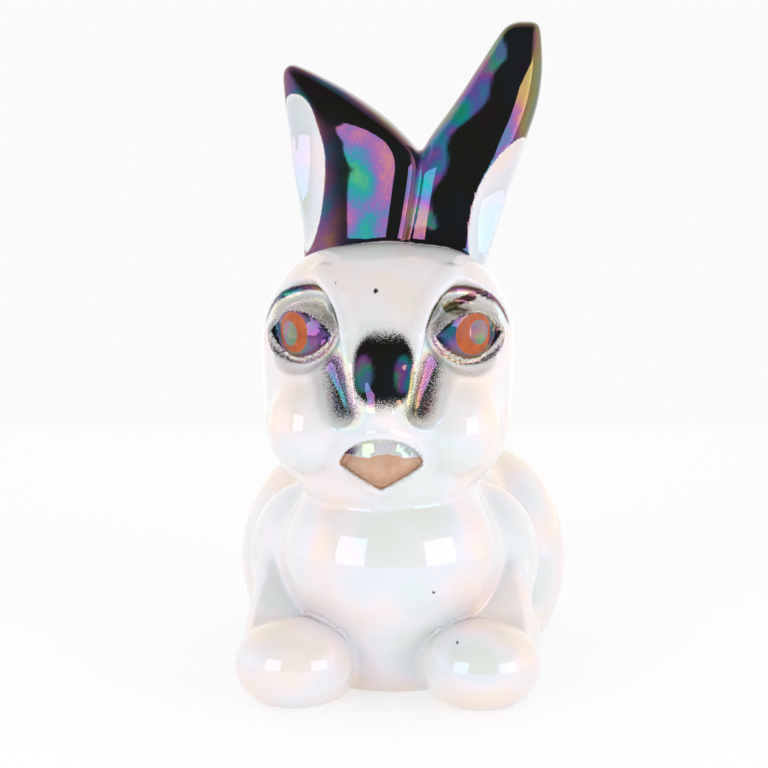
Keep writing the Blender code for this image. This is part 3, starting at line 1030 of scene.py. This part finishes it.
class RABBIT_OT_cast(bpy.types.Operator):
    """Build the casting with its glaze, in place of the plain solid"""

    bl_idname = "rabbit.cast"
    bl_label = "Cast the rabbit"

    def execute(self, context):
        rough = rough_figure()
        mesh = bpy.data.meshes.new("rabbit_cast")
        rough.to_mesh(mesh)
        rough.free()
        figure = bpy.data.objects.new("rabbit_cast", mesh)
        context.scene.collection.objects.link(figure)
        for skin_step, rounds in zip(SKIN_STEPS, PRESS_ROUNDS):
            remesh = figure.modifiers.new("skin", "REMESH")
            remesh.mode = "VOXEL"
            remesh.voxel_size = skin_step * part()
            figure.data = settled_mesh(figure)
            press(figure.data, rounds)
        figure.data.materials.clear()
        figure.data.materials.append(glaze_material())
        figure.data.materials.append(bare_material())
        flatten_foot(figure.data)
        figure.data.shade_smooth()
        mark(figure.data)
        centre(figure.data)
        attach(figure, "root")
        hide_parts("rabbit")
        return {"FINISHED"}


# The studio: the camera's aim and distance in metres, its turn and height in degrees, and the
# softboxes' turn, height, distance, width and height
CAMERA_AIM = (-0.00162, -0.02815, 0.0612)
CAMERA_TURN = 3
CAMERA_RISE = 10
CAMERA_DISTANCE = 0.8
CAMERA_LENS = 187
SENSOR_WIDTH = 36
SOFTBOXES = (
    (-36, 8, 0.9, 0.46, 0.52),
    (50, 5, 0.95, 0.55, 0.55),
)
FLOOR_HALF = 0.247
FLOOR_SQUARES = 8
FLOOR_ROUGHNESS = 0.9
FLOOR_GLOW = 0.505

# How bright the pale room is by its direction, as two ends along an axis and the light at each. The
# first four are what the glaze mirrors, behind, beside, below and above it, the last two what
# lights it, from front to back and from the horizon up
ROOM_BEHIND = (-0.35, 0.3, 0.035, 1.0)
ROOM_ASIDE = (0.7, 0.97, 0.0, 1.35)
ROOM_BELOW = (0.0, -0.5, 0.0, 1.0)
ROOM_LID = (0.5, 0.9, 1.0, 0.5)
ROOM_FRONT = (-0.9, 0.5, 0.45, 1.0)
ROOM_UPPER = (0.1, 0.8, 1.0, 0.9)


def direction(turn, rise):
    """The way from the figurine to a place round it, from its turn and rise in degrees."""
    turn, rise = math.radians(turn), math.radians(rise)
    flat = math.cos(rise)
    return Vector((math.sin(turn) * flat, -math.cos(turn) * flat, math.sin(rise)))


def room_light(backdrop, room):
    """A pale room that is darker on the camera's side, as glossy glaze mirrors it."""
    world = bpy.data.worlds.new("room")
    world.use_nodes = True
    tree = world.node_tree
    background = tree.nodes["Background"]
    spot = tree.nodes.new("ShaderNodeTexCoord").outputs["Generated"]
    forward = add_node(tree, "SeparateXYZ", {}, {"Vector": spot}).outputs
    behind = ranged(tree, forward["Y"], *ROOM_BEHIND)
    aside = ranged(tree, math_node(tree, "ABSOLUTE", forward["X"]), *ROOM_ASIDE)
    below = ranged(tree, forward["Z"], *ROOM_BELOW)
    lid = ranged(tree, forward["Z"], *ROOM_LID)
    mirrored = math_node(tree, "MAXIMUM", behind, aside)
    mirrored = math_node(tree, "MULTIPLY", math_node(tree, "MAXIMUM", mirrored, below), lid)
    mirrored = math_node(tree, "MULTIPLY", mirrored, room)
    front, back, dim, full = ROOM_FRONT
    diffused = ranged(tree, forward["Y"], front, back, dim * room, full * room)
    upper = ranged(tree, forward["Z"], *ROOM_UPPER)
    diffused = math_node(tree, "MULTIPLY", diffused, upper)
    rays = tree.nodes.new("ShaderNodeLightPath").outputs
    light = mixed(tree, rays["Is Glossy Ray"], diffused, mirrored)
    light = mixed(tree, rays["Is Camera Ray"], light, (backdrop,) * 3)
    tree.links.new(light, background.inputs["Color"])
    return world


def lamp(turn, rise, distance, width, height, brightness):
    """A rectangular softbox that looks at the figurine."""
    light = bpy.data.lights.new("softbox", "AREA")
    light.shape = "RECTANGLE"
    light.size = width
    light.size_y = height
    light.energy = brightness * width * height * math.pi
    thing = bpy.data.objects.new("softbox", light)
    aim = direction(turn, rise)
    thing.location = Vector(CAMERA_AIM) + aim * distance
    thing.rotation_euler = aim.to_track_quat("Z", "Y").to_euler()
    return thing


class RABBIT_OT_stage(bpy.types.Operator):
    """Lay the floor, hang the softboxes and set up the camera"""

    bl_idname = "rabbit.stage"
    bl_label = "Set the stage"

    def execute(self, context):
        look = context.scene.stage_look
        collection = context.scene.collection
        bm = bmesh.new()
        turn = Matrix.Rotation(math.radians(CAMERA_TURN), 4, "Z")
        squares = FLOOR_SQUARES
        bmesh.ops.create_grid(
            bm, x_segments=squares, y_segments=squares, size=FLOOR_HALF, matrix=turn
        )
        mesh = bpy.data.meshes.new("floor")
        bm.to_mesh(mesh)
        bm.free()
        material = bpy.data.materials.new("floor")
        material.use_nodes = True
        shader = material.node_tree.nodes["Principled BSDF"]
        shader.inputs["Base Color"].default_value = (*look.floor, 1)
        shader.inputs["Roughness"].default_value = FLOOR_ROUGHNESS
        shader.inputs["Specular IOR Level"].default_value = 0
        shader.inputs["Emission Color"].default_value = (1, 1, 1, 1)
        shader.inputs["Emission Strength"].default_value = FLOOR_GLOW
        mesh.materials.append(material)
        floor = bpy.data.objects.new("floor", mesh)
        collection.objects.link(floor)
        for place in SOFTBOXES:
            collection.objects.link(lamp(*place, look.softbox))
        context.scene.world = room_light(look.backdrop, look.room)
        view = bpy.data.cameras.new("camera")
        view.lens = CAMERA_LENS
        view.sensor_width = SENSOR_WIDTH
        camera = bpy.data.objects.new("camera", view)
        back = direction(CAMERA_TURN, CAMERA_RISE)
        camera.location = Vector(CAMERA_AIM) + back * CAMERA_DISTANCE
        camera.rotation_euler = back.to_track_quat("Z", "Y").to_euler()
        collection.objects.link(camera)
        context.scene.camera = camera
        context.scene.view_settings.view_transform = "Standard"
        return {"FINISHED"}


class RABBIT_PT_panel(bpy.types.Panel):
    """The figurine's sizes, colours and stage."""

    bl_idname = "RABBIT_PT_panel"
    bl_label = "Porcelain Rabbit"
    bl_space_type = "VIEW_3D"
    bl_region_type = "UI"
    bl_category = "Porcelain Rabbit"

    def draw(self, context):
        scene = context.scene
        for group in (scene.rabbit_sizes, scene.rabbit_colours, scene.stage_look):
            column = self.layout.column()
            for name in group.__annotations__:
                column.prop(group, name)
        self.layout.operator("rabbit.cast")
        self.layout.operator("rabbit.stage")


GROUPS = {"rabbit_sizes": RabbitSizes, "rabbit_colours": RabbitColours, "stage_look": StageLook}
CLASSES = (*GROUPS.values(), RABBIT_OT_cast, RABBIT_OT_stage, RABBIT_PT_panel)


def register():
    """Make the operators, the panel and the settings known."""
    for kind in CLASSES:
        bpy.utils.register_class(kind)
    for name, kind in GROUPS.items():
        setattr(bpy.types.Scene, name, PointerProperty(type=kind))


def unregister():
    """Take back what register made known."""
    for name in GROUPS:
        delattr(bpy.types.Scene, name)
    for kind in reversed(CLASSES):
        bpy.utils.unregister_class(kind)


def main():
    """Build the figurine and its stage."""
    register()
    bpy.ops.rabbit.cast()
    bpy.ops.rabbit.stage()


if __name__ == "__main__":
    main()
